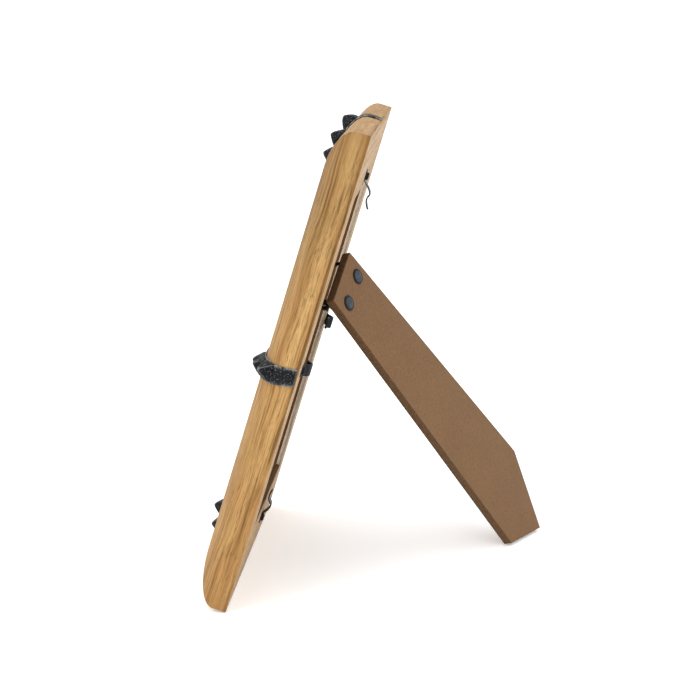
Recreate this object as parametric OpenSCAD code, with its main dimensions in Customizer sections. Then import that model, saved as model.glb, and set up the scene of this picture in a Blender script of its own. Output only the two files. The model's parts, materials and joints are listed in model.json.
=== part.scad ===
// Wooden picture frame with studded iron straps, standing on a diagonal easel strut.
// Frame axes: +X to the viewer's right from the front, the front faces -Y, +Z up.
// The origin is on the table, under the middle of the standing object.

/* [Picture opening] */
// Width of the clear opening in front of the picture
opening_w = 119; // [110:1:130]
// Height of the clear opening in front of the picture
opening_h = 169; // [160:1:180]

/* [Wooden moulding] */
// Width of each rail seen from the front
rail_w = 40.5; // [39:0.5:44]
// Thickness of each rail from front to back
rail_t = 18.9; // [18:0.1:22]
// How far the front lip of each rail laps over the glass
lip_w = 4.7; // [4:0.1:5.5]
// Depth of the rebate, measured from the back of the rail
rebate_d = 7.8; // [7.6:0.1:9]
// Depth behind which the outer side of a rail is flat
side_flat = 7; // [6:0.5:9]
// Width of the rounded part of the front
round_w = 26; // [22:1:30]
// Gap left for glue at each mitred corner
glue_gap = 0.1; // [0.1:0.05:0.2]

/* [Stand] */
// Lean of the frame back from upright, in degrees
lean = 17; // [16:0.1:19]
// Angle between the folded strut and the standing strut, in degrees
strut_open = 43; // [41:0.1:45]
// Turn of the hinge line away from the vertical, in degrees
hinge_turn = 49.2; // [48:0.1:50]
// Height of the middle of the hinge above the lower edge of the frame
hinge_up = 167; // [165:0.5:172]
// Distance of the middle of the hinge to the right of the centre line
hinge_right = 40.4; // [38:0.1:42]
// Width of the strut at its hinged end
strut_w = 34; // [32:1:38]
// Thickness of the strut board
strut_t = 5; // [4:0.1:6]
// Distance from the hinge line to the widest part of the strut
strut_wide_at = 174.8; // [165:0.1:180]
// Distance of the wide corner to one side of the strut's middle line
strut_wide = 21.9; // [18:0.1:22]
// Sideways place of the strut's tip from its middle line
tip_side = -2.9; // [-8:0.1:-2.9]
// Sideways place of the other end of the foot edge
foot_side = -30.5; // [-32:0.1:-26]
// Radius of the heads of the two strut rivets
rivet_r = 4.05; // [3.5:0.05:4.5]
// Distance from the hinge line to the strut rivets
rivet_at = 7.8; // [7:0.1:9]
// Half the distance between the two strut rivets
rivet_half = 9.3; // [8:0.1:10]

/* [Back board and picture] */
// Thickness of the back board
board_t = 3; // [2.8:0.1:3]
// How far the back board lies below the back of the rails
board_in = 2.3; // [2.2:0.05:2.4]
// Thickness of the glass
glass_t = 2; // [1.8:0.1:2]
// Gap all round the glass, the picture and the back board
board_gap = 0.5; // [0.3:0.1:1]

/* [Iron straps] */
// Thickness of the strap metal
strap_t = 1.2; // [1:0.1:1.6]
// Width of a strap at its back end
strap_back_w = 9; // [8:0.5:10]
// Width of a strap on the front
strap_front_w = 10; // [9.5:0.5:12]
// Length of the base of each pyramid stud
stud_base = 9.2; // [8:0.1:9.5]
// Height of each pyramid stud above the strap
stud_h = 5; // [4:0.1:6]
// Distance between stud centres along the strap
stud_pitch = 9.7; // [9.6:0.1:10.5]

/* [Spring clips] */
// Width of each spring clip
clip_w = 6.5; // [5.5:0.1:8]
// Thickness of the spring steel
clip_t = 0.5; // [0.4:0.05:0.6]
// Distance of a clip's screw from the outer edge of the rail
clip_in = 25; // [24:0.5:26]

/* [Hidden] */
$fn = 64;
frame_w = opening_w + 2 * rail_w;
frame_h = opening_h + 2 * rail_w;
back_w = rail_w - lip_w;
round_d = rail_t - side_flat;
y_shift = -70.86;

// Sides in the order bottom, right, top, left: length, strap place, clip place, clip bend
side_len = [frame_w, frame_h, frame_w, frame_h];
strap_x = [6, 1, 0, -1];
strap_slant = [0, 0.148, 0, 0];
strap_start = [4.6, 0.9, 0.7, 0.9];
stud_first = [15.9, 17.4, 17.9, 17.4];
stud_extra = [1, 0, 0, 0];
clip_x = [8, 0, -8, 0];
clip_hump = [1, 1.22, 0.95, 1.22];
clip_tilt = [0, 0, 0.33, 0];
clip_move = [0, 0, 4.6, 0];

// Sheet sizes held in the rebate
sheet_w = frame_w - 2 * back_w - 2 * board_gap;
sheet_h = frame_h - 2 * back_w - 2 * board_gap;
board_front = -board_in - board_t;
card_t = 0.3;
layer_gap = 0.05;

// Hinge: a is along the pin, l along the strut, m out of the folded strut
pin_r = 0.55;
pin_gap = 0.05;
barrel_r = 1.1;
leaf_t = 0.7;
pin_h = 4.6;
pin_n = -board_in + pin_h;
barrel_low = -19.5;
barrel_high = 15.5;
knuckle_gap = 0.3;
middle_low = -16.5;
middle_high = 12;
tab_low = -16;
tab_high = -13;
arm_w = 1.8;
strut_m = barrel_r + 0.05;
strut_start = -3.2;
leaf_m = strut_m - 0.02 - leaf_t;
board_rivet_at = 8.5;

// Foot line: the lower edge of the strut's end lies on the table
lz = -cos(lean) * cos(strut_open) * sin(hinge_turn) - sin(lean) * sin(strut_open);
az = cos(lean) * cos(hinge_turn);
mz = cos(lean) * sin(strut_open) * sin(hinge_turn) - sin(lean) * cos(strut_open);
pin_z = hinge_up * cos(lean) - pin_n * sin(lean);
function foot_l(a) = -(pin_z + a * az + strut_m * mz) / lz;

// Corner nails
nail_at = 14;
nail_leg = 7;
nail_t = 0.6;
nail_deep = 8;

// Round part of the moulding at angle p: place and outward direction, as [inward, depth]
function arc_p(p) = [round_w * (1 - cos(p)), side_flat + round_d * sin(p)];
function arc_n(p) = [-cos(p) / round_w, sin(p) / round_d] / norm([cos(p) / round_w, sin(p) / round_d]);
function arc_len(p) = p <= 0 ? 0 : arc_len(p - 3) + norm(arc_p(p) - arc_p(p - 3));
arc_total = side_flat + arc_len(90);
// Angle on the round part for a distance along the surface from the back edge
function arc_at(s, p = 0) = side_flat + arc_len(p + 3) >= s || p >= 87
    ? p + 3 * (s - side_flat - arc_len(p)) / (arc_len(p + 3) - arc_len(p))
    : arc_at(s, p + 3);

// Section of a rail as [depth towards the front, distance inward]
module rail_section() {
    polygon(concat(
        [[0, 0]],
        [for (p = [0:3:90]) [-arc_p(p)[1], arc_p(p)[0]]],
        [[-rail_t, rail_w - 1.2], [-rail_t + 0.35, rail_w - 0.35], [-rail_t + 1.2, rail_w]],
        [[-rebate_d, rail_w], [-rebate_d, back_w], [0, back_w]]
    ));
}

// Puts a rail drawn along the lower edge onto side i of the frame
module at_side(i) {
    at = [[0, 0, 0], [frame_w / 2, 0, frame_h / 2], [0, 0, frame_h], [-frame_w / 2, 0, frame_h / 2]];
    translate([0, y_shift, 0])
        rotate([-lean, 0, 0])
            translate(at[i])
                rotate([0, -90 * i, 0])
                    children();
}

// Puts a piece drawn upright, back at y = 0, onto the leaning frame
module leaning() {
    translate([0, y_shift, 0])
        rotate([-lean, 0, 0])
            children();
}

// Puts a piece drawn in hinge axes, x along the strut and y along the pin, onto the frame
module at_hinge() {
    leaning()
        translate([hinge_right, pin_n, hinge_up])
            rotate([0, 180 - hinge_turn, 0])
                rotate([-90, 0, 0])
                    children();
}

// The same, turned out to the standing strut
module at_strut() {
    at_hinge()
        rotate([0, -strut_open, 0])
            children();
}

// Slots or strips of the corner nails for one end of a rail
module corner_v(grow) {
    t = nail_t / 2 + grow;
    translate([nail_at - t, -nail_deep - grow, nail_at - t])
        cube([nail_leg + t + grow, nail_deep + 2 * grow, 2 * t]);
    translate([nail_at - t, -nail_deep - grow, nail_at - t])
        cube([2 * t, nail_deep + 2 * grow, nail_leg + t + grow]);
}

// One stud's place on the strap: along the rail, then out from the surface
module at_stud(i, k) {
    s = stud_first[i] + k * stud_pitch;
    over = max(0, s - arc_total);
    p = over > 0 ? 90 : arc_at(s);
    q = arc_p(p);
    n = arc_n(p);
    translate([strap_x[i] - strap_slant[i] * q[1], -q[1], q[0] + over])
        rotate([atan2(n[1], n[0]), 0, 0])
            children();
}

module rail(i) {
    len = side_len[i];
    difference() {
        intersection() {
            translate([-len / 2, 0, 0])
                rotate([90, 0, 90])
                    linear_extrude(len)
                        rail_section();
            translate([0, 1, 0])
                rotate([90, 0, 0])
                    linear_extrude(rail_t + 2)
                        polygon([
                            [-len / 2 + glue_gap, 0],
                            [len / 2 - glue_gap, 0],
                            [len / 2 - glue_gap - rail_w, rail_w],
                            [-len / 2 + glue_gap + rail_w, rail_w]
                        ]);
        }
        for (e = [-1, 1])
            scale([e, 1, 1])
                translate([-len / 2, 0, 0])
                    corner_v(0.05);
        for (k = [0:2])
            at_stud(i, k)
                translate([0, 0, -9])
                    cylinder(h = 12, r = 1);
        translate([clip_x[i], 1, clip_in + clip_move[i]])
            rotate([90, 0, 0])
                cylinder(h = 12.1, r = 1.45);
    }
}

module strap(i) {
    w1 = strap_back_w;
    w2 = strap_front_w;
    end = rail_w - 1.6;
    function skin(off) = concat(
        [[-strap_start[i], -off]],
        [for (p = [0:3:90]) [-arc_p(p)[1] - off * arc_n(p)[1], arc_p(p)[0] + off * arc_n(p)[0]]],
        [[-rail_t - off, end]]
    );
    outer = skin(strap_t);
    inner = skin(0.03);
    difference() {
        intersection() {
            translate([strap_x[i] - w2, 0, 0])
                rotate([90, 0, 90])
                    linear_extrude(2 * w2)
                        polygon(concat(outer, [for (j = [len(inner) - 1:-1:0]) inner[j]]));
            translate([strap_x[i], 0, -5])
                linear_extrude(rail_w + 10)
                    polygon([
                        for (q = [[-w1, 0], [w1, 0], [w2, -15], [w2, -25], [-w2, -25], [-w2, -15]])
                            [q[0] / 2 + strap_slant[i] * max(q[1], -rail_t), q[1]]
                    ]);
        }
        for (k = [0:2])
            at_stud(i, k)
                translate([0, 0, -9])
                    cylinder(h = 14, r = 1);
    }
}

// Pyramid-headed nails that hold a strap
module studs(i) {
    for (k = [0:2])
        at_stud(i, k) {
            translate([0, 0, -8.5])
                cylinder(h = 8.5 + strap_t + 0.6, r = 0.95);
            translate([0, 0, strap_t + 0.04])
                rotate([0, 0, 45])
                    cylinder(h = 0.8, r = stud_base / sqrt(2), $fn = 4);
            translate([0, 0, strap_t + 0.84])
                rotate([0, 0, 45])
                    cylinder(h = stud_h - 1.3 + stud_extra[i], r1 = stud_base / sqrt(2), r2 = 1.9, $fn = 4);
            translate([0, 0, strap_t + stud_h - 0.46 + stud_extra[i]])
                rotate([0, 0, 45])
                    cylinder(h = 0.5, r1 = 1.9, r2 = 0.9, $fn = 4);
        }
}

// Wavy spring strip as [distance from its screw, height off the wood]
module clip(i) {
    wave = [
        [-3.4, 0], [2.3, 0], [3.7, 0.9], [5.6, 2.2], [7.5, 3], [8.9, 3],
        [10.3, 1.7], [11.7, 0.95], [13.2, 0.8], [15, 1], [16.8, 1.5]
    ];
    line = [for (q = wave) [q[0], 0.06 + q[1] * clip_hump[i] + max(0, q[0] - 3) * clip_tilt[i]]];
    translate([clip_x[i], 0, clip_in + clip_move[i]])
        difference() {
            union() {
                translate([-clip_w / 2, 0, 0])
                    rotate([90, 0, 90])
                        linear_extrude(clip_w)
                            polygon(concat(
                                [for (q = line) [q[1], q[0]]],
                                [for (j = [len(line) - 1:-1:0]) [line[j][1] + clip_t, line[j][0]]]
                            ));
            }
            translate([0, 3, 0])
                rotate([90, 0, 0])
                    cylinder(h = 6, r = 1.6);
        }
}

module clip_screw(i) {
    head = 0.06 + clip_t + 0.06;
    translate([clip_x[i], 0, clip_in + clip_move[i]])
        rotate([-90, 0, 0])
            difference() {
                union() {
                    translate([0, 0, -10])
                        cylinder(h = 10, r1 = 0.9, r2 = 1.4);
                    cylinder(h = head, r = 1.52);
                    translate([0, 0, head])
                        cylinder(h = 0.8, r = 2.1);
                    translate([0, 0, head + 0.8])
                        cylinder(h = 0.5, r1 = 2.1, r2 = 1.4);
                }
                for (a = [0, 90])
                    rotate([0, 0, a])
                        translate([-1.2, -0.25, head + 0.7])
                            cube([2.4, 0.5, 2]);
            }
}

module top_rail() {
    color([0.78, 0.6, 0.4]) at_side(2) rail(2);
}

module bottom_rail() {
    color([0.78, 0.6, 0.4]) at_side(0) rail(0);
}

module left_rail() {
    color([0.76, 0.58, 0.38]) at_side(3) rail(3);
}

module right_rail() {
    color([0.76, 0.58, 0.38]) at_side(1) rail(1);
}

module corner_nails() {
    color([0.6, 0.6, 0.62])
        leaning()
            for (e = [-1, 1], f = [0, 1])
                translate([0, 0, f * frame_h])
                    scale([e, 1, f == 0 ? 1 : -1])
                        translate([-frame_w / 2, -0.03, 0])
                            corner_v(0);
}

module sheet(back, t) {
    translate([-sheet_w / 2, back - t, frame_h / 2 - sheet_h / 2])
        cube([sheet_w, t, sheet_h]);
}

module glass() {
    color([0.8, 0.9, 0.88, 0.4])
        leaning()
            sheet(board_front - card_t - 2 * layer_gap, glass_t);
}

module picture_card() {
    color([0.93, 0.92, 0.88])
        leaning()
            sheet(board_front - layer_gap, card_t);
}

module back_board() {
    color([0.5, 0.38, 0.26])
        difference() {
            leaning()
                sheet(-board_in, board_t);
            at_hinge()
                for (s = [-1, 1])
                    translate([board_rivet_at, s * rivet_half, -8])
                        cylinder(h = 12, r = 1.25);
        }
}

// One knuckle from a0 to a1 along the pin
module knuckle(a0, a1) {
    translate([0, a1, 0])
        rotate([90, 0, 0])
            cylinder(h = a1 - a0, r = barrel_r);
}

// Arm that carries an end knuckle down to the leaf on the board
module hinge_arm(a0, a1) {
    translate([0, a1, 0])
        rotate([90, 0, 0])
            linear_extrude(a1 - a0)
                polygon([[0.36, -0.26], [-0.16, -0.74], [2.94, -pin_h + 0.1], [3.46, -pin_h + 0.6]]);
}

module pin_hole() {
    translate([0, 40, 0])
        rotate([90, 0, 0])
            cylinder(h = 80, r = pin_r + pin_gap);
}

module board_hinge_leaf() {
    ends = [[barrel_low, middle_low - knuckle_gap], [middle_high + knuckle_gap, barrel_high]];
    color([0.1, 0.1, 0.1])
        at_hinge()
            difference() {
                union() {
                    for (e = ends)
                        knuckle(e[0], e[1]);
                    hinge_arm(ends[0][1] - arm_w, ends[0][1]);
                    hinge_arm(ends[1][0], ends[1][0] + arm_w);
                    translate([leaf_t / 2 + 0.05, barrel_low, -pin_h])
                        cube([13, barrel_high - barrel_low, leaf_t]);
                    translate([leaf_t / 2 + 0.05, tab_low, -pin_h])
                        cube([leaf_t, tab_high - tab_low, leaf_t + 1.7]);
                }
                pin_hole();
                for (s = [-1, 1])
                    translate([board_rivet_at, s * rivet_half, -8])
                        cylinder(h = 12, r = 1.25);
            }
}

module board_rivets() {
    color([0.12, 0.12, 0.12])
        at_hinge()
            for (s = [-1, 1])
                translate([board_rivet_at, s * rivet_half, -pin_h]) {
                    translate([0, 0, -board_t])
                        cylinder(h = board_t + leaf_t + 0.1, r = 1.2);
                    translate([0, 0, leaf_t + 0.02])
                        cylinder(h = 0.5, r1 = 2.3, r2 = 1.6);
                }
}

module hinge_pin() {
    color([0.15, 0.15, 0.16])
        at_hinge()
            translate([0, barrel_high + 0.4, 0])
                rotate([90, 0, 0])
                    cylinder(h = barrel_high - barrel_low + 0.8, r = pin_r);
}

// The tab below the middle knuckle meets the lug on the board leaf when the strut is open
module strut_hinge_leaf() {
    color([0.1, 0.1, 0.1])
        at_strut()
            difference() {
                union() {
                    knuckle(middle_low, middle_high);
                    translate([0, middle_low, leaf_m])
                        cube([3, middle_high - middle_low, leaf_t]);
                    translate([1.5, -14, leaf_m])
                        cube([11.5, 28, leaf_t]);
                    rotate([0, strut_open, 0])
                        translate([-leaf_t / 2, tab_low, -3.3])
                            cube([leaf_t, tab_high - tab_low, 2.7]);
                }
                pin_hole();
                for (s = [-1, 1])
                    translate([rivet_at, s * rivet_half, -4])
                        cylinder(h = 12, r = 1.55);
            }
}

module strut() {
    color([0.56, 0.44, 0.35])
        at_strut()
            difference() {
                translate([0, 0, strut_m])
                    linear_extrude(strut_t)
                        polygon([
                            [strut_start, -strut_w / 2],
                            [foot_l(foot_side), foot_side],
                            [foot_l(tip_side), tip_side],
                            [strut_wide_at, strut_wide],
                            [strut_start, strut_w / 2]
                        ]);
                for (s = [-1, 1])
                    translate([rivet_at, s * rivet_half, -4])
                        cylinder(h = 14, r = 1.55);
            }
}

module strut_rivets() {
    head = strut_m + strut_t + 0.03;
    color([0.2, 0.22, 0.24])
        at_strut()
            for (s = [-1, 1])
                translate([rivet_at, s * rivet_half, 0])
                    rotate_extrude()
                        polygon(concat(
                            [[0, leaf_m - 0.5], [2.2, leaf_m - 0.4], [2.4, leaf_m - 0.02], [1.5, leaf_m - 0.02]],
                            [[1.5, head], [rivet_r, head], [rivet_r, head + 0.35]],
                            [for (a = [10:10:90]) [rivet_r * cos(a), head + 0.35 + 0.6 * sin(a)]]
                        ));
}

module top_strap() {
    color([0.17, 0.18, 0.2]) at_side(2) strap(2);
}

module bottom_strap() {
    color([0.17, 0.18, 0.2]) at_side(0) strap(0);
}

module left_strap() {
    color([0.17, 0.18, 0.2]) at_side(3) strap(3);
}

module right_strap() {
    color([0.17, 0.18, 0.2]) at_side(1) strap(1);
}

module top_studs() {
    color([0.2, 0.21, 0.23]) at_side(2) studs(2);
}

module bottom_studs() {
    color([0.2, 0.21, 0.23]) at_side(0) studs(0);
}

module left_studs() {
    color([0.2, 0.21, 0.23]) at_side(3) studs(3);
}

module right_studs() {
    color([0.2, 0.21, 0.23]) at_side(1) studs(1);
}

module top_clip() {
    color([0.4, 0.42, 0.44]) at_side(2) clip(2);
}

module bottom_clip() {
    color([0.4, 0.42, 0.44]) at_side(0) clip(0);
}

module left_clip() {
    color([0.4, 0.42, 0.44]) at_side(3) clip(3);
}

module right_clip() {
    color([0.4, 0.42, 0.44]) at_side(1) clip(1);
}

module clip_screws() {
    color([0.08, 0.08, 0.08])
        for (i = [0:3])
            at_side(i)
                clip_screw(i);
}

top_rail();
bottom_rail();
left_rail();
right_rail();
corner_nails();
glass();
picture_card();
back_board();
board_hinge_leaf();
board_rivets();
hinge_pin();
strut_hinge_leaf();
strut();
strut_rivets();
top_strap();
bottom_strap();
left_strap();
right_strap();
top_studs();
bottom_studs();
left_studs();
right_studs();
top_clip();
bottom_clip();
left_clip();
right_clip();
clip_screws();
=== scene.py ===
"""Looks of the oak picture frame with studded iron straps, standing on its folding strut."""

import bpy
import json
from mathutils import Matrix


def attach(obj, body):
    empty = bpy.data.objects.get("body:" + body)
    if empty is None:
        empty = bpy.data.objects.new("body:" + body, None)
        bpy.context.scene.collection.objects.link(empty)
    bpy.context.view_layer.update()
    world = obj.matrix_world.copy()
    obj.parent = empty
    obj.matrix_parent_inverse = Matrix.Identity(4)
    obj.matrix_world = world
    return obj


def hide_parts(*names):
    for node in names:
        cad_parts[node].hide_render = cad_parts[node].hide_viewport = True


bl_info = {
    "name": "Studded Oak Picture Frame",
    "version": (1, 0, 0),
    "blender": (4, 5, 0),
    "location": "View3D > Sidebar > Picture Frame",
    "description": "Oak rails, iron straps, spring clips and an easel strut on a packed frame",
    "category": "Add Mesh",
}

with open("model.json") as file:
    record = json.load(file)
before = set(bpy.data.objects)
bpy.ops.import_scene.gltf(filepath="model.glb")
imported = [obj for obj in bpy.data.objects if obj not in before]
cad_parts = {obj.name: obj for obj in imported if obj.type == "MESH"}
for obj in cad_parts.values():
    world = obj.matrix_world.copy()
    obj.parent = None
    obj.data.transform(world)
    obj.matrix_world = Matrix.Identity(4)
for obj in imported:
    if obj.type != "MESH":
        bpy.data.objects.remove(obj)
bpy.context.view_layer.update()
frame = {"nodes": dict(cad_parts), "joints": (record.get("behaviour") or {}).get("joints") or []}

import json
import math

import bpy
import numpy as np
from mathutils import Vector
from mathutils.geometry import convex_hull_2d

MM = 0.001


# ---------------------------------------------------------------- where things are


def joint(name):
    """The record's joint of that name."""
    return next(j for j in frame["joints"] if j["name"] == name)


def points(node):
    """All corners of a CAD node, one row each, in metres."""
    mesh = frame["nodes"][node].data
    flat = np.empty(len(mesh.vertices) * 3)
    mesh.vertices.foreach_get("co", flat)
    return flat.reshape(-1, 3)


RIGHT = np.array([1.0, 0.0, 0.0])
BACK = np.array(joint("top_clip_turn")["axis"])
BACK /= np.linalg.norm(BACK)
UP = np.cross(RIGHT, BACK)
WIDTH = points("right_rail")[:, 0].max() - points("left_rail")[:, 0].min()
FOOT_EDGE = (points("bottom_rail") @ UP).min()
HEIGHT = (points("top_rail") @ UP).max() - FOOT_EDGE
BACK_FACE = (points("bottom_rail") @ BACK).max()
SIDES = ("bottom", "right", "top", "left")


def place(x, n, u):
    """World place of: x to the right, n behind the rails' backs, u up along the frame."""
    x, n, u = np.broadcast_arrays(x, n, u)
    grid = x[..., None] * RIGHT
    grid = grid + (BACK_FACE + n)[..., None] * BACK
    return grid + (FOOT_EDGE + u)[..., None] * UP


def on_side(side, along, n, inward):
    """World place of a point measured on one rail: along it, behind it, in from its outer edge."""
    if side == "bottom":
        return place(along, n, inward)
    if side == "right":
        return place(WIDTH / 2 - inward, n, HEIGHT / 2 + along)
    if side == "top":
        return place(-along, n, HEIGHT - inward)
    return place(-WIDTH / 2 + inward, n, HEIGHT / 2 - along)


def side_of(side, world):
    """How far along a rail a world point lies: the reverse of on_side."""
    x, u = world @ RIGHT, world @ UP - FOOT_EDGE
    return {"bottom": x, "right": u - HEIGHT / 2, "top": -x, "left": HEIGHT / 2 - u}[side]


# ---------------------------------------------------------------- sizes and colours


def length(name, value, description):
    """A length property in metres, from a value in millimetres."""
    return bpy.props.FloatProperty(
        name=name, description=description, default=value * MM, min=0.0, unit="LENGTH", precision=5
    )


def colour(name, value, description):
    """A colour property, from linear red, green and blue."""
    return bpy.props.FloatVectorProperty(
        name=name, description=description, default=value, size=3, min=0.0, max=1.0, subtype="COLOR"
    )


class FrameSizes(bpy.types.PropertyGroup):
    """Sizes of the moulding, the straps, the clips and the strut."""

    rail_width: length("Rail Width", 40.5, "Width of a rail from its outer to its inner edge")
    rail_depth: length("Rail Depth", 18.9, "Thickness of a rail from back to front")
    side_flat: length("Flat Side", 7.0, "Depth of the flat part of a rail's outer side")
    round_width: length("Rounded Width", 26.0, "Width of the rounded part of a rail's front")
    lip: length("Lip", 4.7, "How far a rail laps over the glass")
    rebate: length("Rebate Depth", 7.8, "Depth of the step that holds the glass")
    arris: length("Arris", 0.5, "Radius of the sanded edges at the back")
    glue_line: length("Glue Line", 0.1, "Gap at each mitred corner")
    strap_thick: length("Strap Thickness", 1.2, "Thickness of the strap iron")
    strap_back: length("Strap Back Width", 9.0, "Width of a strap at its back end")
    strap_front: length("Strap Front Width", 10.0, "Width of a strap across the front")
    stud_height: length("Stud Height", 5.0, "Height of a pyramid stud above its strap")
    stud_half: length("Stud Half Width", 4.75, "Half the width of a stud across its strap")
    clip_width: length("Clip Width", 6.5, "Width of a spring clip")
    clip_thick: length("Clip Thickness", 0.5, "Thickness of the spring steel")
    strut_edge: length("Strut Edge", 0.5, "Radius of the strut board's edges")
    rivet_radius: length("Rivet Radius", 4.05, "Radius of the strut's rivet heads")


class FrameColours(bpy.types.PropertyGroup):
    """Colours of the woods and metals."""

    oak: colour("Oak", (0.322, 0.176, 0.057), "Lacquered oak between its grain lines")
    oak_light: colour("Light Oak", (0.457, 0.279, 0.110), "Palest streaks of the oak")
    oak_red: colour("Reddish Oak", (0.355, 0.178, 0.065), "Warm patches of the oak")
    oak_dark: colour("Dark Oak", (0.105, 0.048, 0.013), "Pores and late wood of the oak")
    bare: colour("Bare Oak", (0.400, 0.245, 0.112), "Unfinished wood on the back")
    bare_grey: colour("Grey Bare Oak", (0.460, 0.350, 0.235), "Greyer streaks of the unfinished wood")
    # Painted light and shade: the recess wall colour is a brightened copy of the bare oak, standing in for
    # light deep in the recess, and the next colour is a darker grey copy, painted shade at the recess's
    # brink.
    wall: colour("Recess Wall", (0.850, 0.700, 0.540), "Sawn wood deep in the recess")
    wall_brink_shade: colour("Dim Wall", (0.300, 0.268, 0.215), "Grey wood at the recess's brink")
    board: colour("Fibreboard", (0.145, 0.080, 0.039), "Face of the brown fibreboard")
    board_edge: colour("Fibreboard Edge", (0.098, 0.053, 0.024), "Sawn edge of the fibreboard")
    iron: colour("Iron", (0.0034, 0.0036, 0.0040), "Blackened strap iron")
    # Lightens rubbed edges and stud points: partly real wear, partly a painted highlight.
    iron_worn_glint: colour("Worn Iron", (0.360, 0.370, 0.380), "Rubbed edges of the strap iron")
    rivet: colour("Rivet", (0.036, 0.046, 0.054), "Slate finish of the rivets")
    paint: colour("Black Paint", (0.008, 0.008, 0.009), "Paint on the hinge and the screws")
    spring: colour("Spring Steel", (0.015, 0.016, 0.017), "Blued spring steel of the clips")
    floor: colour("Floor", (0.930, 0.930, 0.930), "Pale studio floor")


def context_sizes():
    """The sizes held on the scene."""
    return bpy.context.scene.frame_sizes


def context_colours():
    """The colours held on the scene."""
    return bpy.context.scene.frame_colours


# ---------------------------------------------------------------- meshes


def grid_faces(rows, columns, wrap=False):
    """Quads of a grid of rows by columns; with wrap, the last column joins the first."""
    cells = columns if wrap else columns - 1
    r, c = np.meshgrid(np.arange(rows - 1), np.arange(cells), indexing="ij")
    right = (c + 1) % columns
    corners = (r * columns + c, r * columns + right, (r + 1) * columns + right, (r + 1) * columns + c)
    return np.stack(corners, axis=-1).reshape(-1, 4)


def tube_faces(rows, columns):
    """Faces of a closed tube: its wrapped grid of rows by columns, and a lid on each end."""
    lid = np.arange(columns)
    return [*grid_faces(rows, columns, wrap=True), lid[::-1], lid + (rows - 1) * columns]


def signed_volume(verts, faces):
    """Volume of a closed mesh by fans of triangles, negative where it is inside out."""
    total = 0.0
    for face in faces:
        p = verts[list(face)]
        total += np.einsum("ij,ij->", np.cross(p[1:-1], p[2:]), np.broadcast_to(p[0], p[2:].shape))
    return total


def build(name, verts, faces, body, materials, replaces=(), attributes=None, sharp=35):
    """Makes one piece from its points and faces, points its faces outwards and hangs it on a body."""
    verts = np.asarray(verts, float).reshape(-1, 3)
    faces = [tuple(int(k) for k in face) for face in faces]
    if signed_volume(verts - verts.mean(axis=0), faces) < 0:
        faces = [face[::-1] for face in faces]
    mesh = bpy.data.meshes.new(name)
    mesh.from_pydata(verts.tolist(), [], faces)
    for key, values in (attributes or {}).items():
        values = np.asarray(values, float)
        kind = "FLOAT_VECTOR" if values.ndim == 2 else "FLOAT"
        layer = mesh.attributes.new(key, kind, "POINT")
        layer.data.foreach_set("vector" if values.ndim == 2 else "value", values.ravel())
    mesh.polygons.foreach_set("use_smooth", np.ones(len(mesh.polygons), bool))
    mesh.set_sharp_from_angle(angle=math.radians(sharp))
    mesh.update()
    for material in materials:
        mesh.materials.append(material)
    piece = bpy.data.objects.new(name, mesh)
    bpy.context.scene.collection.objects.link(piece)
    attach(piece, body)
    if replaces:
        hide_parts(*replaces)
    return piece


def rounded(corners, radii, steps=6):
    """A closed outline through corners, each turned into a curve of its own radius, in order."""
    corners = np.asarray(corners, float)
    before = np.roll(corners, 1, axis=0) - corners
    after = np.roll(corners, -1, axis=0) - corners
    before /= np.linalg.norm(before, axis=1)[:, None]
    after /= np.linalg.norm(after, axis=1)[:, None]
    half = np.arccos(np.clip((before * after).sum(axis=1), -1, 1)) / 2
    reach = np.asarray(radii, float) / np.tan(half)
    t = np.linspace(0, 1, steps)[None, :, None]
    start = (corners + before * reach[:, None])[:, None]
    end = (corners + after * reach[:, None])[:, None]
    middle = corners[:, None]
    return ((1 - t) ** 2 * start + 2 * t * (1 - t) * middle + t**2 * end).reshape(-1, 2)


def ramp(value, start, length):
    """0 up to start, 1 from start + length on, and straight between them."""
    return np.clip((value - start) / length, 0, 1)


def round_end(run, reach, least):
    """How full a strip is along its run: 1 in its middle, down a quarter circle to least at its ends."""
    near = np.clip(np.minimum(run - run[0], run[-1] - run) / reach, 0, 1)
    return np.sqrt(np.clip(1 - (1 - near) ** 2, least, 1))


def band_section(count, across_power, lift_power):
    """Section of a flat band, a circle squared up by powers: across from -1 to 1, lift from 0 to 1."""
    turn = np.linspace(0, 2 * math.pi, count, endpoint=False)
    cosine, sine = np.cos(turn), np.sin(turn)
    across = np.sign(cosine) * np.abs(cosine) ** across_power
    lift = 0.5 + 0.5 * np.sign(sine) * np.abs(sine) ** lift_power
    return across, lift


def moulding_curve(p):
    """The rounded front: a quarter ellipse from the flat side, as inward distance and depth."""
    s = context_sizes()
    inward = s.round_width * (1 - np.cos(p))
    depth = s.side_flat + (s.rail_depth - s.side_flat) * np.sin(p)
    return np.stack([inward, depth], axis=-1)


def skin_path(start_depth, end_inward, count):
    """Evenly spaced places on a rail's outer surface, with the direction out of it and the distance run."""
    s = context_sizes()
    flat = np.stack([np.zeros(40), np.linspace(start_depth, s.side_flat, 40)], axis=-1)
    curve = moulding_curve(np.linspace(0, math.pi / 2, 400))
    front = np.stack([np.linspace(s.round_width, end_inward, 60), np.full(60, s.rail_depth)], axis=-1)
    line = np.concatenate([flat[:-1], curve, front[1:]])
    run = np.concatenate([[0], np.cumsum(np.linalg.norm(np.diff(line, axis=0), axis=1))])
    want = np.linspace(0, run[-1], count)
    spots = np.stack([np.interp(want, run, line[:, k]) for k in (0, 1)], axis=-1)
    tangent = np.gradient(spots, want, axis=0)
    tangent /= np.linalg.norm(tangent, axis=1)[:, None]
    out = np.stack([-tangent[:, 1], tangent[:, 0]], axis=-1)
    return spots, out, want + start_depth


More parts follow.
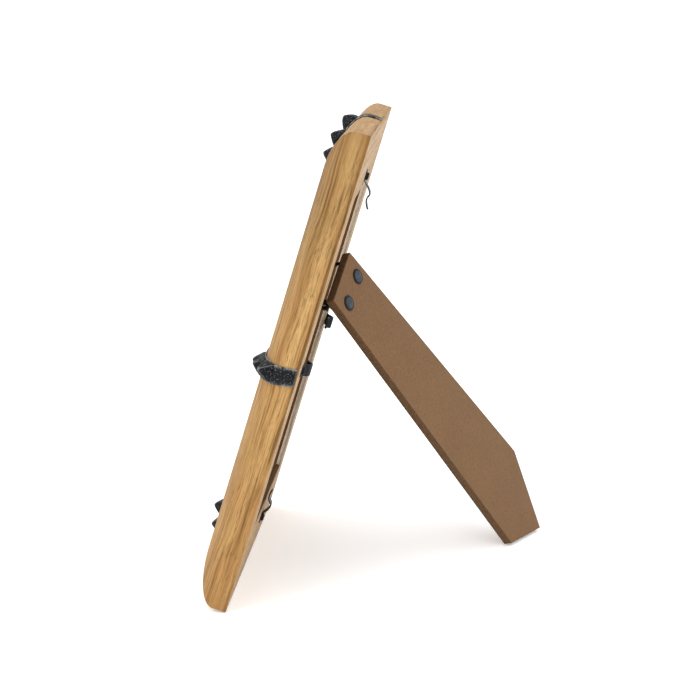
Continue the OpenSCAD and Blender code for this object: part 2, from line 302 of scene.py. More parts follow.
def dents(run, across, seed, spacing, depth):
    """Hammer marks: round dishes strewn over a strip, the deepest one counting at each point."""
    rng = np.random.default_rng(seed)
    strip, half_strip = 60 * MM, 7 * MM
    count = int(strip * 2 * half_strip / spacing**2)
    at_run = rng.uniform(0, strip, count)
    at_across = rng.uniform(-half_strip, half_strip, count)
    size = rng.uniform(0.35, 0.75, count) * spacing
    gap = (run[..., None] - at_run) ** 2 + (across[..., None] - at_across) ** 2
    return -depth * np.exp(-gap / (2 * size**2)).max(axis=-1)


# ---------------------------------------------------------------- finishes


class Finish:
    """A material being put together one node at a time."""

    def __init__(self, name):
        self.material = bpy.data.materials.new(name)
        self.material.use_nodes = True
        self.tree = self.material.node_tree
        self.shader = self.tree.nodes["Principled BSDF"]

    def node(self, kind, inputs=None, **settings):
        """Adds a node, sets its settings and fills or links its inputs."""
        made = self.tree.nodes.new(kind)
        for key, value in settings.items():
            setattr(made, key, value)
        for key, value in (inputs or {}).items():
            self.feed(made.inputs[key], value)
        return made

    def feed(self, socket, value):
        """Links an output to a socket, or sets the socket's own value."""
        if isinstance(value, bpy.types.NodeSocket):
            self.tree.links.new(value, socket)
        elif hasattr(socket.default_value, "__len__") and len(socket.default_value) == 4:
            socket.default_value = (*tuple(value)[:3], 1.0)
        else:
            socket.default_value = value

    def where(self, attribute=None):
        """Object coordinates, or a piece's own attribute."""
        if attribute:
            return self.node("ShaderNodeAttribute", attribute_name=attribute).outputs["Vector"]
        return self.node("ShaderNodeTexCoord").outputs["Object"]

    def value(self, attribute):
        """A piece's own number attribute."""
        return self.node("ShaderNodeAttribute", attribute_name=attribute).outputs["Fac"]

    def stretched(self, vector, scale, shift=(0, 0, 0)):
        """Coordinates scaled by a different amount along each axis."""
        made = self.node("ShaderNodeMapping", {"Vector": vector})
        made.inputs["Scale"].default_value = scale
        made.inputs["Location"].default_value = shift
        return made.outputs["Vector"]

    def noise(self, vector, scale=1.0, detail=3.0, rough=0.55, distort=0.0):
        """Soft fractal noise between 0 and 1."""
        made = self.node(
            "ShaderNodeTexNoise",
            {"Vector": vector, "Scale": scale, "Detail": detail, "Roughness": rough, "Distortion": distort},
        )
        return made.outputs["Fac"]

    def span(self, value, low, high, to_low=0.0, to_high=1.0):
        """Maps the stretch between low and high onto a new stretch, held at its ends."""
        made = self.node("ShaderNodeMapRange", {"Value": value}, interpolation_type="SMOOTHSTEP")
        made.inputs["From Min"].default_value = low
        made.inputs["From Max"].default_value = high
        made.inputs["To Min"].default_value = to_low
        made.inputs["To Max"].default_value = to_high
        return made.outputs["Result"]

    def math(self, operation, a, b=0.0):
        """Arithmetic on two values."""
        made = self.node("ShaderNodeMath", operation=operation)
        self.feed(made.inputs[0], a)
        self.feed(made.inputs[1], b)
        return made.outputs[0]

    def mix(self, factor, a, b, blend="MIX"):
        """Mixes two colours."""
        made = self.node("ShaderNodeMix", data_type="RGBA", blend_type=blend)
        self.feed(made.inputs[0], factor)
        self.feed(made.inputs[6], a)
        self.feed(made.inputs[7], b)
        return made.outputs[2]

    def bump(self, height, distance, strength=1.0, under=None):
        """Relief from a height value, over an earlier relief if there is one."""
        made = self.node("ShaderNodeBump", {"Height": height})
        made.inputs["Distance"].default_value = distance
        made.inputs["Strength"].default_value = strength
        if under is not None:
            self.feed(made.inputs["Normal"], under)
        return made.outputs["Normal"]

    def finish(self, color, rough, normal=None, **others):
        """Fills the shader's sockets; plain numbers go straight onto them."""
        self.feed(self.shader.inputs["Base Color"], color)
        self.feed(self.shader.inputs["Roughness"], rough)
        if normal is not None:
            self.feed(self.shader.inputs["Normal"], normal)
        for key, value in others.items():
            self.shader.inputs[key.replace("_", " ")].default_value = value
        return self.material


def scaled(color, factor):
    """A colour made darker or lighter by a factor."""
    return tuple(min(1.0, channel * factor) for channel in color)


def oak_finish():
    """Straight-grained oak: broad bands, long dark streaks, fine fibres, broken pores, bare at the back."""
    c = context_colours()
    f = Finish("Oak")
    grain = f.where("grain")
    drift = f.noise(f.stretched(grain, (11, 25, 25)), detail=2)
    bent = f.node("ShaderNodeVectorMath", {0: grain}, operation="ADD")
    slip = f.node("ShaderNodeCombineXYZ")
    f.feed(slip.inputs[1], f.math("MULTIPLY", drift, 0.011))
    f.feed(slip.inputs[2], f.math("MULTIPLY", drift, 0.008))
    f.feed(bent.inputs[1], slip.outputs[0])
    line = bent.outputs[0]
    bands = f.noise(f.stretched(line, (4, 190, 190)), detail=2, rough=0.5)
    fibres = f.noise(f.stretched(line, (48, 1150, 1150)), detail=5, rough=0.7)
    late = f.noise(f.stretched(line, (5, 330, 330), (3, 7, 1)), detail=3, rough=0.6)
    streak = f.noise(f.stretched(line, (9, 640, 640), (5, 2, 9)), detail=2, rough=0.5)
    pores = f.noise(f.stretched(line, (170, 2700, 2700), (1, 2, 3)), detail=2, rough=0.5)
    mottle = f.noise(f.stretched(grain, (28, 50, 50)), detail=3)
    wood = f.mix(f.span(bands, 0.32, 0.68), c.oak_light, c.oak)
    wood = f.mix(f.math("MULTIPLY", f.span(mottle, 0.42, 0.7), 0.45), wood, c.oak_red)
    wood = f.mix(f.math("MULTIPLY", f.span(late, 0.5, 0.68), 0.38), wood, scaled(c.oak_dark, 1.3))
    wood = f.mix(f.math("MULTIPLY", f.span(streak, 0.52, 0.68), 0.6), wood, c.oak_dark)
    wood = f.mix(f.math("MULTIPLY", f.span(fibres, 0.45, 0.68), 0.55), wood, c.oak_dark)
    dash = f.span(pores, 0.6, 0.7)
    wood = f.mix(f.math("MULTIPLY", dash, 0.5), wood, scaled(c.oak_dark, 0.55))
    wood = f.mix(f.math("MULTIPLY", f.value("tip"), 0.28), wood, scaled(c.oak_red, 0.72))
    # Painted light: the top and bottom rails are paled towards the bare oak, standing in for light falling on
    # the top rail from above.
    lit_pale_wood = f.mix(f.span(fibres, 0.4, 0.7), c.bare, scaled(c.bare, 0.72))
    wood = f.mix(f.math("MULTIPLY", f.value("pale"), 0.55), wood, lit_pale_wood)
    wood = f.mix(f.math("MULTIPLY", f.value("tone"), 0.5), wood, (0.56, 0.56, 0.52), "MULTIPLY")
    wood = f.mix(f.math("MULTIPLY", f.value("arris"), 0.6), wood, (0.55, 0.46, 0.34), "MULTIPLY")
    bare = f.mix(f.math("MULTIPLY", f.span(bands, 0.42, 0.6), 0.6), c.bare, c.bare_grey)
    # Painted light and shade on the recess wall: a brightened copy of the bare oak, greyed to painted shade
    # at its brink.
    bare = f.mix(f.value("recess"), bare, f.mix(f.value("brink"), c.wall, c.wall_brink_shade))
    bare = f.mix(f.math("MULTIPLY", f.span(streak, 0.45, 0.66), 0.7), bare, (0.55, 0.52, 0.48), "MULTIPLY")
    bare = f.mix(f.math("MULTIPLY", f.span(fibres, 0.4, 0.75), 0.5), bare, (0.62, 0.62, 0.60), "MULTIPLY")
    bare = f.mix(f.math("MULTIPLY", dash, 0.35), bare, scaled(c.bare, 0.4))
    # Painted shade: the bottom rail's recess wall is darkened towards the dark oak.
    bare = f.mix(f.math("MULTIPLY", f.value("stain"), 0.92), bare, scaled(c.oak_dark, 0.8))
    color = f.mix(f.value("bare"), wood, bare)
    relief = f.bump(fibres, 0.00006, 0.5)
    relief = f.bump(f.math("SUBTRACT", 1.0, dash), 0.00009, 0.6, relief)
    rough = f.span(fibres, 0.3, 0.8, 0.55, 0.72)
    return f.finish(color, rough, relief, Specular_IOR_Level=0.1)


def iron_finish():
    """Blackened hammered iron: blue-grey scale, lightened along rubbed edges and stud points, partly wear and
    partly a painted highlight.
    """
    c = context_colours()
    f = Finish("Hammered iron")
    here = f.where()
    scale = f.noise(here, 420, 5, 0.65)
    patch = f.noise(here, 130, 3, 0.5)
    fleck = f.noise(here, 1100, 3, 0.6)
    pits = f.node("ShaderNodeTexVoronoi", {"Vector": here, "Scale": 900}).outputs["Distance"]
    color = f.mix(f.span(patch, 0.35, 0.7), c.iron, scaled(c.iron, 2.2))
    color = f.mix(f.math("MULTIPLY", f.span(fleck, 0.54, 0.68), 0.5), color, scaled(c.iron_worn_glint, 0.4))
    # Rubbed edges and points: partly wear, partly a painted highlight.
    rub_and_glint = f.math("MULTIPLY", f.value("wear"), f.span(scale, 0.36, 0.6))
    color = f.mix(f.math("MULTIPLY", rub_and_glint, 0.85), color, c.iron_worn_glint)
    relief = f.bump(scale, 0.00022, 0.6)
    relief = f.bump(pits, 0.00012, 0.4, relief)
    rough = f.span(scale, 0.3, 0.75, 0.42, 0.68)
    return f.finish(color, rough, relief, Metallic=0.0, Specular_IOR_Level=0.07)


def board_finish(name, attribute, shade=(1.0, 1.0, 1.0), spec=0.14):
    """Brown fibreboard: fine felted flecks on its faces, darker and coarser on a sawn edge."""
    c = context_colours()
    f = Finish(name)
    here = f.where()
    fleck = f.noise(here, 950, 5, 0.8)
    felt = f.noise(f.stretched(here, (1, 1.7, 1)), 700, 4, 0.7)
    cloud = f.noise(here, 55, 3, 0.5)
    face = f.mix(f.span(cloud, 0.3, 0.7), scaled(c.board, 1.08), scaled(c.board, 1.16))
    face = f.mix(f.math("MULTIPLY", f.span(fleck, 0.44, 0.68), 0.62), face, scaled(c.board, 0.6))
    face = f.mix(f.math("MULTIPLY", f.span(felt, 0.5, 0.72), 0.55), face, scaled(c.board, 1.55))
    sawn = f.mix(f.span(felt, 0.35, 0.7), scaled(c.board_edge, 0.75), scaled(c.board_edge, 1.3))
    sawn = f.mix(f.math("MULTIPLY", f.span(fleck, 0.5, 0.75), 0.5), sawn, scaled(c.board_edge, 0.45))
    color = f.mix(f.value(attribute), face, sawn) if attribute else face
    # The shade multiply darkens the colour as painted shade.
    color = f.mix(1.0, color, shade, "MULTIPLY")
    relief = f.bump(felt, 0.00008, 0.5)
    relief = f.bump(fleck, 0.00004, 0.5, relief)
    return f.finish(color, f.span(felt, 0.3, 0.8, 0.7, 0.88), relief, Specular_IOR_Level=spec)


def metal_finish(name, base, metallic, rough_low, rough_high, streak=(900, 900, 900), spec=0.5, rim=None):
    """Plain metal or painted metal with fine streaks, small scuffs and uneven sheen."""
    f = Finish(name)
    here = f.where()
    line = f.noise(f.stretched(here, streak), detail=3, rough=0.6)
    scuff = f.noise(here, 330, 4, 0.6)
    color = f.mix(f.span(line, 0.3, 0.7), scaled(base, 0.72), scaled(base, 1.25))
    color = f.mix(f.math("MULTIPLY", f.span(scuff, 0.6, 0.75), 0.5), color, scaled(base, 2.1))
    # Painted shade: where the rim attribute is high the colour is darkened, on the rolled rims of the rivet
    # heads.
    if rim:
        color = f.mix(f.value(rim), color, scaled(base, 0.25))
    relief = f.bump(line, 0.00003, 0.5)
    relief = f.bump(scuff, 0.00008, 0.4, relief)
    rough = f.span(scuff, 0.3, 0.7, rough_low, rough_high)
    return f.finish(color, rough, relief, Metallic=metallic, Specular_IOR_Level=spec)


def glass_finish():
    """Clear float glass, with the faintest unevenness."""
    f = Finish("Clear glass")
    wave = f.noise(f.where(), 30, 1, 0.4)
    f.shader.inputs["Transmission Weight"].default_value = 1.0
    f.shader.inputs["IOR"].default_value = 1.5
    color = f.mix(f.span(wave, 0.3, 0.7), (0.95, 0.985, 0.97), (0.97, 0.995, 0.985))
    return f.finish(color, f.span(wave, 0.3, 0.7, 0.0, 0.02))


def card_finish():
    """Plain off-white card with a soft tooth."""
    f = Finish("Plain card")
    here = f.where()
    tooth = f.noise(here, 1500, 4, 0.6)
    cloud = f.noise(here, 24, 2, 0.5)
    color = f.mix(f.span(cloud, 0.3, 0.7), (0.82, 0.80, 0.75), (0.86, 0.845, 0.80))
    color = f.mix(f.math("MULTIPLY", f.span(tooth, 0.45, 0.75), 0.2), color, (0.70, 0.68, 0.62))
    return f.finish(color, 0.85, f.bump(tooth, 0.00003, 0.4))


def dress(node, material):
    """Gives a CAD node that keeps its shape a finish of its own."""
    mesh = frame["nodes"][node].data
    mesh.materials.clear()
    mesh.materials.append(material)


# ---------------------------------------------------------------- pieces


class FRAME_OT_rails(bpy.types.Operator):
    """Four mitred oak rails: a rounded, rebated section carried along each side"""

    bl_idname = "picture_frame.rails"
    bl_label = "Oak Rails"

    def section(self):
        """A rail's closed outline, as inward distance and depth, and how far each finish shows on it."""
        s = context_sizes()
        wall = s.rail_width - s.lip
        corners = [
            (0, s.side_flat),
            (s.round_width, s.rail_depth),
            (s.rail_width, s.rail_depth),
            (s.rail_width, s.rebate),
            (wall, s.rebate),
            (wall, 0),
            (0, 0),
        ]
        steps = 7
        radii = [1e-6, 1e-6, 1.2 * MM, 0.3 * MM, 0.2 * MM, s.arris, s.arris]
        rest = rounded(corners, radii, steps)[2 * steps :]
        heights = np.array([0.9, 1.3, 2.2, 3.4, 5.2, 7.0]) / 7.0 * s.side_flat
        side = np.stack([np.zeros(6), heights], axis=-1)
        curve = moulding_curve(np.linspace(0.02, math.pi / 2, 56))
        sawn = np.stack([np.full(3, wall), np.array([3.0, 2.0, 0.9]) * MM], axis=-1)
        back = np.array([[wall - 1.2 * MM, 0.0], [1.2 * MM, 0.0]])
        inner, edge = rest[: 3 * steps], rest[3 * steps : 4 * steps]
        outline = np.concatenate([side, curve, inner, sawn, edge, back, rest[4 * steps :]])
        inward, depth = outline[:, 0], outline[:, 1]
        bare = np.zeros(len(outline))
        bare[len(side) + len(curve) + steps :] = 1.0
        bare[-steps:] = [1.0, 1.0, 0.9, 0.7, 0.45, 0.2, 0.0]
        # Masks for the recess wall's painted light and for the painted shade at its brink.
        recess = ramp(inward, wall - 0.3 * MM, 0.25 * MM) * bare
        brink = (1 - ramp(depth, 0.0, 2.2 * MM)) * bare
        arris = (1 - ramp(depth, 1.2 * MM, 1.1 * MM)) * (inward < 0.4 * MM) * (1 - bare)
        return outline, {"bare": bare, "recess": recess, "brink": brink, "arris": arris}

    def execute(self, context):
        s = context_sizes()
        outline, marks = self.section()
        inward, depth = outline[:, 0], outline[:, 1]
        none = np.zeros(len(outline))
        material = oak_finish()
        stations = 25
        t = np.linspace(-1, 1, stations)[:, None]
        for k, side in enumerate(SIDES):
            level = side in ("top", "bottom")
            half = (WIDTH if level else HEIGHT) / 2
            along = t * (half - inward - s.glue_line / 2)
            # The bottom rail's recess wall gets painted shade in place of the lit wall colour.
            shade_marks = {"recess": none, "stain": marks["recess"]} if side == "bottom" else {"stain": none}
            attributes = {key: np.tile(values, stations) for key, values in {**marks, **shade_marks}.items()}
            grain = (along + 0.61 * k, inward + 0.083 * k, depth + 0.37 * k)
            attributes["grain"] = np.stack(np.broadcast_arrays(*grain), axis=-1).reshape(-1, 3)
            rise = ramp(t[:, 0], 0.15, 0.5) if side == "right" else np.zeros(stations)
            attributes["tone"] = np.repeat(rise, len(outline))
            # Painted light: the level rails are marked for paling, as if lit from above.
            attributes["pale"] = np.full(stations * len(outline), 1.0 if level else 0.0)
            attributes["tip"] = np.repeat(ramp(np.abs(t[:, 0]), 0.9, 0.1), len(outline))
            build(
                f"{side}_rail_wood",
                on_side(side, along, -depth, inward),
                tube_faces(stations, len(outline)),
                "frame",
                [material],
                replaces=[f"{side}_rail"],
                attributes=attributes,
                sharp=30,
            )
        return {"FINISHED"}


def strap_middle(side, depth):
    """How far along its rail a strap's middle lies at each depth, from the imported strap's two ends."""
    cloud = points(f"{side}_strap")
    along, deep = side_of(side, cloud), BACK_FACE - cloud @ BACK
    first = along[deep < deep.min() + 0.3 * MM]
    last = along[deep > deep.max() - 0.3 * MM]
    middles = [(first.min() + first.max()) / 2, (last.min() + last.max()) / 2]
    return np.interp(depth, [deep.min(), context_sizes().rail_depth], middles)


class FRAME_OT_straps(bpy.types.Operator):
    """Hammered iron straps: a round-edged band carried round each rail, dented all over"""

    bl_idname = "picture_frame.straps"
    bl_label = "Iron Straps"

    def execute(self, context):
        s = context_sizes()
        material = iron_finish()
        for k, side in enumerate(SIDES):
            start = BACK_FACE - (points(f"{side}_strap") @ BACK).max()
            path, out, run = skin_path(start, s.rail_width - 1.6 * MM, 170)
            middle = strap_middle(side, path[:, 1])[:, None]
            across, lift = band_section(44, 0.28, 0.55)
            taper = round_end(run, 1.1 * MM, 0.12)[:, None]
            widen = ramp(path[:, 1:2], start, 14 * MM) ** 1.3
            half = (s.strap_back + (s.strap_front - s.strap_back) * widen) / 2
            wander = 0.28 * MM * np.sin(run * 310 + k) + 0.2 * MM * np.sin(run * 730 + 2 * k)
            x = half * (0.9 + 0.1 * taper) * across + 0.5 * wander[:, None]
            mark = dents(np.broadcast_to(run[:, None], x.shape), x, 10 + k, 1.9 * MM, 0.2 * MM)
            thick = s.strap_thick * (1 - (1 - taper) * lift) * lift
            height = thick + mark * ramp(lift, 0.4, 0.6) + 0.02 * MM
            inward = path[:, 0:1] + out[:, 0:1] * height
            depth = path[:, 1:2] + out[:, 1:2] * height
            # Rims and ends of the band lightened: partly rubbed wear, partly a painted highlight.
            rim = np.abs(across) ** 8 * ramp(lift, 0.0, 0.4)
            wear = np.clip(0.85 * rim + 0.35 * (1 - taper), 0, 1)
            build(
                f"{side}_strap_iron",
                on_side(side, middle + x, -depth, inward),
                tube_faces(*x.shape),
                "frame",
                [material],
                replaces=[f"{side}_strap"],
                attributes={"wear": wear.ravel()},
                sharp=60,
            )
        return {"FINISHED"}


class FRAME_OT_studs(bpy.types.Operator):
    """Pyramid studs: a four-sided height field over the strap, its ridges and point softened"""

    bl_idname = "picture_frame.studs"
    bl_label = "Pyramid Studs"

    def centres(self, side, path, out, run):
        """Where along its strap each packed stud has its point, and how high the points stand."""
        cloud = points(f"{side}_studs")
        skin = on_side(side, strap_middle(side, path[:, 1]), -path[:, 1], path[:, 0])
        away = on_side(side, 0.0, -out[:, 1], out[:, 0]) - on_side(side, 0.0, 0.0, 0.0)
        gap = cloud[:, None] - skin[None]
        nearest = np.linalg.norm(gap, axis=-1).argmin(axis=1)
        heights = (gap * away[None]).sum(axis=-1)[np.arange(len(cloud)), nearest]
        tips = np.sort(run[nearest[heights > heights.max() - 0.4 * MM]])
        cuts = np.flatnonzero(np.diff(tips) > 4 * MM) + 1
        return [group.mean() for group in np.split(tips, cuts)], heights.max()

    def shell(self, size):
        """Faces of one stud: its top grid, its bottom grid and the ring that joins their rims."""
        grid = np.arange(size * size).reshape(size, size)
        rim = np.concatenate([grid[0], grid[1:, -1], grid[-1, -2::-1], grid[-2:0:-1, 0]])
        lower = rim + size * size
        ring = np.stack([rim, np.roll(rim, -1), np.roll(lower, -1), lower], axis=-1)
        return np.concatenate([grid_faces(size, size)[:, ::-1], grid_faces(size, size) + size * size, ring])

    def execute(self, context):
        s = context_sizes()
        material = bpy.data.materials["Hammered iron"]
        size = 41
        half_run = 4.85 * MM
        v, u = np.meshgrid(np.linspace(-1, 1, size), np.linspace(-1, 1, size), indexing="ij")
        soft = (np.abs(u) ** 7 + np.abs(v) ** 7) ** (1 / 7)
        blunt = 0.012
        fall = np.sqrt(soft**2 + blunt) - math.sqrt(blunt)
        fall = fall / fall.max()
        ridge = np.exp(-(((np.abs(u) - np.abs(v)) / 0.09) ** 2)) * (soft < 0.97)
        skirt = np.clip((1 - soft) / 0.06, 0, 1)
        # Ridges and point of each stud lightened: partly rubbed wear, partly a painted highlight.
        bright = np.clip(0.3 * ridge + 0.5 * np.exp(-((soft / 0.16) ** 2)), 0, 1)
        for k, side in enumerate(SIDES):
            path, out, run = skin_path(0.0, s.rail_width - 1.6 * MM, 400)
            centres, peak = self.centres(side, path, out, run)
            rng = np.random.default_rng(40 + k)
            top = (peak - s.strap_thick) * (1 - fall**1.08)
            verts = []
            for number, centre in enumerate(centres):
                skew = rng.uniform(-0.06, 0.06, 2)
                here = centre + v * half_run + skew[0] * MM * (1 - soft)
                x = u * s.stud_half + skew[1] * 6 * MM * (1 - soft)
                mark = dents(here, x, 70 + 5 * k + number, 1.5 * MM, 0.26 * MM) * (1 - 0.6 * ridge)
                height = s.strap_thick - 0.25 * MM + skirt * 0.45 * MM + (top + mark) * skirt
                at = np.stack([np.interp(here, run, path[:, j]) for j in (0, 1)], axis=-1)
                normal = np.stack([np.interp(here, run, out[:, j]) for j in (0, 1)], axis=-1)
                middle = strap_middle(side, at[..., 1])
                for level in (height, np.full_like(height, s.strap_thick * 0.4)):
                    spot = at + normal * level[..., None]
                    verts.append(on_side(side, middle + x, -spot[..., 1], spot[..., 0]).reshape(-1, 3))
            count = len(centres)
            build(
                f"{side}_stud_heads",
                np.concatenate(verts),
                np.concatenate([self.shell(size) + 2 * size * size * number for number in range(count)]),
                "frame",
                [material],
                replaces=[f"{side}_studs"],
                attributes={"wear": np.tile(np.concatenate([bright.ravel(), np.zeros(size * size)]), count)},
                sharp=70,
            )
        return {"FINISHED"}


class FRAME_OT_clips(bpy.types.Operator):
    """Spring clips: a flat strip carried along a wavy line off its screw"""

    bl_idname = "picture_frame.clips"
    bl_label = "Spring Clips"

    def wave(self, side, middle):
        """The strip's underside, as inward distance and height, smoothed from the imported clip's corners."""
        s = context_sizes()
        cloud = points(f"{side}_clip")
        foot = on_side(side, 0.0, 0.0, 0.0)
        inward = (cloud - foot) @ (on_side(side, 0.0, 0.0, 1.0) - foot)
        height = cloud @ BACK - BACK_FACE
        outer = np.abs(side_of(side, cloud) - middle) > s.clip_width / 2 - 0.2 * MM
        keys = np.unique(np.round(inward[outer], 5))
        low = np.array([height[outer][np.abs(inward[outer] - key) < 2e-5].min() for key in keys])
        t = np.linspace(keys[0], keys[-1], 140)
        line = np.interp(t, keys, low)
        reach = 6
        window = np.hanning(2 * reach + 1)
        before = np.full(reach, line[0])
        after = line[-1] + (line[-1] - line[-2]) * np.arange(1, reach + 1)
        padded = np.concatenate([before, line, after])
        smooth = np.convolve(padded, window / window.sum(), mode="valid")
        return t, np.maximum(smooth, line.min())

    def execute(self, context):
        s = context_sizes()
        c = context_colours()
        material = metal_finish("Spring steel", c.spring, 0.3, 0.3, 0.45, (2500, 300, 300), 0.1)
        across, lift = band_section(28, 0.3, 0.5)
        for side in SIDES:
            middle = side_of(side, np.array(joint(f"{side}_clip_turn")["pos_m"]))
            t, line = self.wave(side, middle)
            slope = np.gradient(line, t)
            out = np.stack([-slope, np.ones_like(slope)], axis=-1)
            out /= np.linalg.norm(out, axis=1)[:, None]
            half = s.clip_width / 2 * (0.45 + 0.55 * round_end(t, 1.6 * MM, 0.02))
            x = half[:, None] * across
            swell = 1 + 0.6 * ramp(t, t[0] + 7 * MM, 2 * MM)
            level = s.clip_thick * swell[:, None] * lift
            inward = t[:, None] + out[:, 0:1] * level
            height = line[:, None] + out[:, 1:2] * level
            build(
                f"{side}_clip_strip",
                on_side(side, middle + x, height, inward),
                tube_faces(*x.shape),
                f"{side}_clip_body",
                [material],
                replaces=[f"{side}_clip"],
                sharp=50,
            )
        return {"FINISHED"}


def strut_axes():
    """Across, along and out of the strut board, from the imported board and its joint."""
    across = np.array(joint("strut_fold")["axis"])
    across /= np.linalg.norm(across)
    cloud = points("strut")
    out = np.linalg.svd(cloud - cloud.mean(axis=0))[2][2]
    out *= np.sign(out @ BACK)
    return across, np.cross(across, out), out


class FRAME_OT_strut(bpy.types.Operator):
    """The strut board: its five-cornered outline, raised through its thickness with softened edges"""

    bl_idname = "picture_frame.strut"
    bl_label = "Strut"

    def execute(self, context):
        s = context_sizes()
        across, along, out = strut_axes()
        cloud = points("strut")
        flat = np.stack([cloud @ along, cloud @ across], axis=-1)
        hull = flat[convex_hull_2d(flat.tolist())]
        corners = hull[np.linalg.norm(hull - np.roll(hull, 1, axis=0), axis=1) > 1 * MM]
        outline = rounded(corners, [0.7 * MM] * len(corners), 5)
        step = np.roll(outline, -1, axis=0) - np.roll(outline, 1, axis=0)
        step /= np.linalg.norm(step, axis=1)[:, None]
        outward = np.stack([step[:, 1], -step[:, 0]], axis=-1)
        outward *= np.sign(((outline - outline.mean(axis=0)) * outward).sum())
        low, high = (cloud @ out).min(), (cloud @ out).max()
        quarter = np.linspace(0, math.pi / 2, 5)
        rise, turn_in = s.strut_edge * (1 - np.cos(quarter)), s.strut_edge * (1 - np.sin(quarter))
        inset = np.concatenate([turn_in, rise])
        level = np.concatenate([low + rise, high - turn_in])
        ring = outline[None] - outward[None] * inset[:, None, None]
        verts = ring[..., 0:1] * along + ring[..., 1:2] * across + level[:, None, None] * out
        from_middle = np.abs(level - (low + high) / 2)
        sawn = (from_middle < (high - low) / 2 - 0.08 * MM).astype(float)
        build(
            "strut_board",
            verts,
            tube_faces(*ring.shape[:2]),
            "strut_leg",
            [board_finish("Strut fibreboard", "edge")],
            replaces=["strut"],
            attributes={"edge": np.repeat(sawn, len(outline))},
            sharp=35,
        )
        return {"FINISHED"}


class FRAME_OT_rivets(bpy.types.Operator):
    """Rivet heads: a low dome with a rolled rim, turned about each rivet's axis"""

    bl_idname = "picture_frame.rivets"
    bl_label = "Strut Rivets"

    # share of the head's radius, and height in millimetres above the board
    PROFILE = np.array(
        [
            (0.0, 0.92), (0.25, 0.91), (0.5, 0.86), (0.68, 0.79), (0.74, 0.72), (0.78, 0.70),
            (0.83, 0.72), (0.9, 0.70), (0.96, 0.58), (1.0, 0.36), (1.0, 0.12), (0.98, 0.0),
            (0.37, 0.0), (0.37, -5.75), (0.58, -5.8), (0.55, -6.15), (0.35, -6.25), (0.0, -6.28),
        ]
    )

    def faces(self, rows, count):
        """Faces of one turned rivet: its walls and a fan on each pole; the poles come last."""
        top, bottom = rows * count, rows * count + 1
        k = np.arange(count)
        following = (k + 1) % count
        last = (rows - 1) * count
        fan_top = np.stack([k, following, np.full(count, top)], axis=-1)
        fan_low = np.stack([last + following, last + k, np.full(count, bottom)], axis=-1)
        return [*grid_faces(rows, count, wrap=True), *fan_top, *fan_low]

    def execute(self, context):
        s = context_sizes()
        c = context_colours()
        across, along, out = strut_axes()
        cloud = points("strut_rivets")
        split = cloud @ across
        middle = (split.min() + split.max()) / 2
        turn = np.linspace(0, 2 * math.pi, 64, endpoint=False)
        radius = self.PROFILE[:, 0:1] * s.rivet_radius
        level = (cloud @ out).max() - (self.PROFILE[0, 1] - self.PROFILE[:, 1]) * MM
        count, rows = len(turn), len(radius) - 2
        verts, faces = [], []
        for number, group in enumerate((cloud[split < middle], cloud[split > middle])):
            a = (group @ along).min() / 2 + (group @ along).max() / 2 + radius * np.cos(turn)
            b = (group @ across).min() / 2 + (group @ across).max() / 2 + radius * np.sin(turn)
            rings = a[..., None] * along + b[..., None] * across + level[:, None, None] * out
            verts.append(np.concatenate([rings[1:-1].reshape(-1, 3), rings[[0, -1], 0]]))
            faces += [face + number * (rows * count + 2) for face in self.faces(rows, count)]
        # Painted shade: the outer part of each rivet head is marked to be darkened.
        dark = np.repeat(ramp(self.PROFILE[1:-1, 0], 0.7, 0.08), count)
        build(
            "strut_rivet_heads",
            np.concatenate(verts),
            faces,
            "strut_leg",
            [metal_finish("Slate rivet", c.rivet, 0.0, 0.45, 0.6, (500, 500, 500), 0.12, "rim")],
            replaces=["strut_rivets"],
            attributes={"rim": np.tile(np.concatenate([dark, [0.0, 0.0]]), 2)},
            sharp=40,
        )
        return {"FINISHED"}


class FRAME_OT_fittings(bpy.types.Operator):
    """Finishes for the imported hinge, screws, nails, back board, card and glass"""

    bl_idname = "picture_frame.fittings"
    bl_label = "Fittings"

    def execute(self, context):
        c = context_colours()
        black = metal_finish("Black painted steel", c.paint, 0.0, 0.4, 0.6, spec=0.12)
        pin = metal_finish("Bright pin steel", (0.42, 0.42, 0.44), 0.9, 0.25, 0.4, (200, 2500, 200))
        # Painted shade: the back board is a darkened copy of the fibreboard with no specular, standing in for
        # the shade in the recess.
        dress("back_board", board_finish("Back fibreboard", None, (0.55, 0.45, 0.33), 0.0))
        dress("picture_card", card_finish())
        dress("glass", glass_finish())
        for node in ("board_hinge_leaf", "strut_hinge_leaf", "board_rivets", "clip_screws"):
            dress(node, black)
        for node in ("hinge_pin", "corner_nails"):
            dress(node, pin)
        return {"FINISHED"}


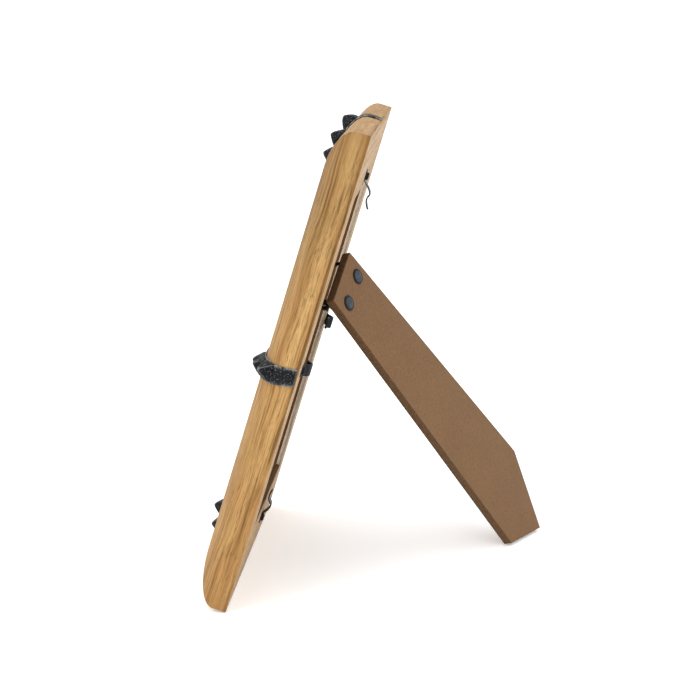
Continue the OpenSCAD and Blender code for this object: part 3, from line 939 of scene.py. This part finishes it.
class FRAME_OT_stage(bpy.types.Operator):
    """A pale floor, soft light from all round and the camera beside and behind the frame"""

    bl_idname = "picture_frame.stage"
    bl_label = "Stage"

    LENS = 100.03
    EYE_RIGHT, EYE_BEHIND, EYE_HIGH = 1.02725, 0.12731, 0.31815
    EYE_TURN = (78.874, 0.023, 93.981)

    def floor(self, color):
        """A wide level sheet just under the feet, as a grid of two parameters."""
        reach, drop, count = 60.0, 0.0004, 9
        t = np.linspace(-reach, reach, count)
        y, x = np.meshgrid(t, t, indexing="ij")
        verts = np.stack([x, y, np.full_like(x, -drop)], axis=-1)
        mesh = bpy.data.meshes.new("floor")
        mesh.from_pydata(verts.reshape(-1, 3).tolist(), [], grid_faces(count, count).tolist())
        mesh.update()
        f = Finish("Pale floor")
        f.finish(tuple(color), 0.9, Specular_IOR_Level=0.1, Emission_Strength=0.2)
        f.shader.inputs["Emission Color"].default_value = (1.0, 1.0, 1.0, 1.0)
        mesh.materials.append(f.material)
        piece = bpy.data.objects.new("floor", mesh)
        bpy.context.scene.collection.objects.link(piece)

    def lamp(self, name, spot, target, size, power):
        """A square soft light aimed at a point."""
        data = bpy.data.lights.new(name, "AREA")
        data.shape = "SQUARE"
        data.size = size
        data.energy = power
        lamp = bpy.data.objects.new(name, data)
        bpy.context.scene.collection.objects.link(lamp)
        lamp.location = spot
        aim = (np.array(target) - np.array(spot)).tolist()
        lamp.rotation_mode = "QUATERNION"
        lamp.rotation_quaternion = Vector(aim).to_track_quat("-Z", "Y")

    def execute(self, context):
        scene = context.scene
        self.floor(scene.frame_colours.floor)
        world = bpy.data.worlds.new("Studio")
        scene.world = world
        world.use_nodes = True
        sky = world.node_tree.nodes["Background"]
        sky.inputs["Color"].default_value = (1.0, 1.0, 1.0, 1.0)
        sky.inputs["Strength"].default_value = 1.3
        self.lamp("Key", (0.9, -0.9, 1.5), (0.0, 0.0, 0.12), 1.2, 9.0)
        self.lamp("Side", (1.6, 0.7, 0.9), (0.0, 0.02, 0.1), 1.0, 8.0)
        data = bpy.data.cameras.new("Camera")
        data.sensor_width = 36.0
        data.lens = self.LENS
        data.clip_end = 200.0
        camera = bpy.data.objects.new("Camera", data)
        scene.collection.objects.link(camera)
        back_edge = place(0.0, 0.0, 0.0)[1]
        camera.location = (self.EYE_RIGHT, back_edge + self.EYE_BEHIND, self.EYE_HIGH)
        camera.rotation_euler = [math.radians(angle) for angle in self.EYE_TURN]
        scene.camera = camera
        scene.view_settings.view_transform = "Standard"
        return {"FINISHED"}


STEPS = ("rails", "straps", "studs", "clips", "strut", "rivets", "fittings", "stage")


class VIEW3D_PT_picture_frame(bpy.types.Panel):
    """Lists the pieces of the frame with their sizes and colours"""

    bl_label = "Picture Frame"
    bl_space_type = "VIEW_3D"
    bl_region_type = "UI"
    bl_category = "Picture Frame"

    def draw(self, context):
        for step in STEPS:
            self.layout.operator(f"picture_frame.{step}")
        for group in (context.scene.frame_sizes, context.scene.frame_colours):
            for key in group.bl_rna.properties.keys():
                if key not in ("rna_type", "name"):
                    self.layout.prop(group, key)


CLASSES = (
    FrameSizes,
    FrameColours,
    FRAME_OT_rails,
    FRAME_OT_straps,
    FRAME_OT_studs,
    FRAME_OT_clips,
    FRAME_OT_strut,
    FRAME_OT_rivets,
    FRAME_OT_fittings,
    FRAME_OT_stage,
    VIEW3D_PT_picture_frame,
)


def register():
    for cls in CLASSES:
        bpy.utils.register_class(cls)
    bpy.types.Scene.frame_sizes = bpy.props.PointerProperty(type=FrameSizes)
    bpy.types.Scene.frame_colours = bpy.props.PointerProperty(type=FrameColours)


def unregister():
    del bpy.types.Scene.frame_colours
    del bpy.types.Scene.frame_sizes
    for cls in reversed(CLASSES):
        bpy.utils.unregister_class(cls)


def main():
    """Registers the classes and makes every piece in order."""
    register()
    for step in STEPS:
        getattr(bpy.ops.picture_frame, step)()


if __name__ == "__main__":
    main()
